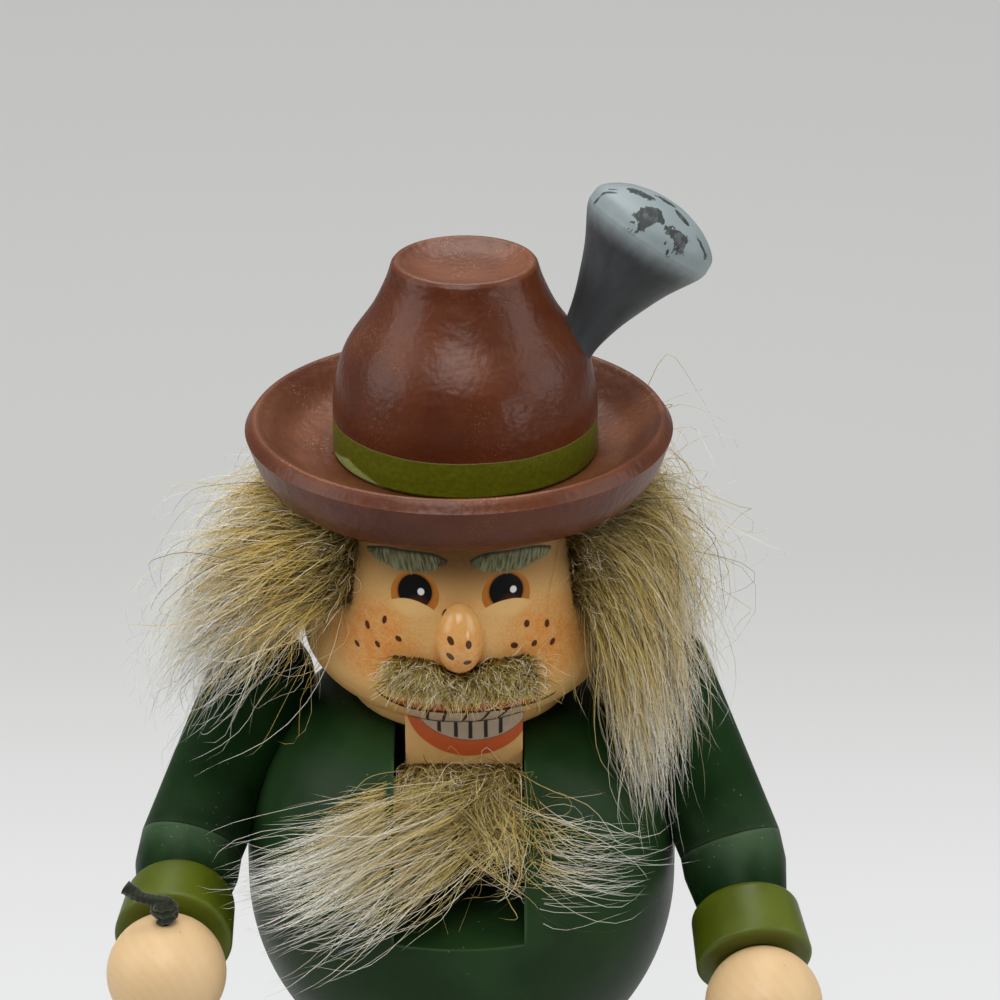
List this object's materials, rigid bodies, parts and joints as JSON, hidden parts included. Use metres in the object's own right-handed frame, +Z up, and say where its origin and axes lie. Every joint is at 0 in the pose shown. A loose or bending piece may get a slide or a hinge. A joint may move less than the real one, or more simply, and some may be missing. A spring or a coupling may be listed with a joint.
{
  "type": "nutcracker figure",
  "caption": "Turned wooden nutcracker figure with a round belly, brimmed hat, fur hair and beard, and a jaw lever that swings on a pin.",
  "frame": {"origin": "centre of the base's flat underside", "axes": "+Z up along the figure, -Y out of its face, +X towards its own left hand"},
  "size_m": [0.1592, 0.1338, 0.2875],
  "materials": {
    "dark_green_paint": "satin dark green paint on turned wood",
    "olive_paint": "matte olive green paint on turned wood",
    "hat_brown_paint": "satin red-brown paint on turned wood",
    "slate_paint": "satin slate grey paint on turned wood",
    "black_paint": "satin black paint on wood",
    "skin_paint": "satin flesh paint on wood, with painted features",
    "pale_wood": "smooth pale lacquered wood",
    "bare_wood": "bare beech dowel",
    "fur": "long natural fur, olive blond with pale tips",
    "cord": "dark green-black braided cord"
  },
  "bodies": {
    "figure": {"base": "black_paint", "boot_left": "black_paint", "boot_right": "black_paint", "leg_left": "dark_green_paint", "leg_right": "dark_green_paint", "foot_dowel_left": "bare_wood", "foot_dowel_right": "bare_wood", "hip_dowel_left": "bare_wood", "hip_dowel_right": "bare_wood", "body": "dark_green_paint", "pivot_pin": "bare_wood", "neck_dowel_left": "bare_wood", "neck_dowel_right": "bare_wood", "head": "skin_paint", "nose": "skin_paint", "moustache": "fur", "hair_left": "fur", "hair_right": "fur", "hair_back": "fur", "hat_dowel": "bare_wood", "hat_brim": "hat_brown_paint", "hat_crown": "hat_brown_paint", "hat_brush": "slate_paint", "upper_arm_left": "dark_green_paint", "upper_arm_right": "dark_green_paint", "forearm_left": "dark_green_paint", "forearm_right": "dark_green_paint", "cuff_left": "olive_paint", "cuff_right": "olive_paint", "hand_left": "pale_wood", "hand_right": "pale_wood", "shoulder_dowel_left": "bare_wood", "shoulder_dowel_right": "bare_wood", "wrist_dowel_left": "bare_wood", "wrist_dowel_right": "bare_wood", "hand_cord": "cord", "cord_stop_knot": "cord", "cord_end_knot": "cord"},
    "jaw": {"jaw_lever": "skin_paint", "beard": "fur"}
  },
  "joints": [
    {"name": "jaw_hinge", "type": "hinge", "parent": "figure", "child": "jaw", "pos_m": [0, 0.006, 0.14035], "axis": [1, 0, 0], "range_deg": [0, 30]}
  ]
}
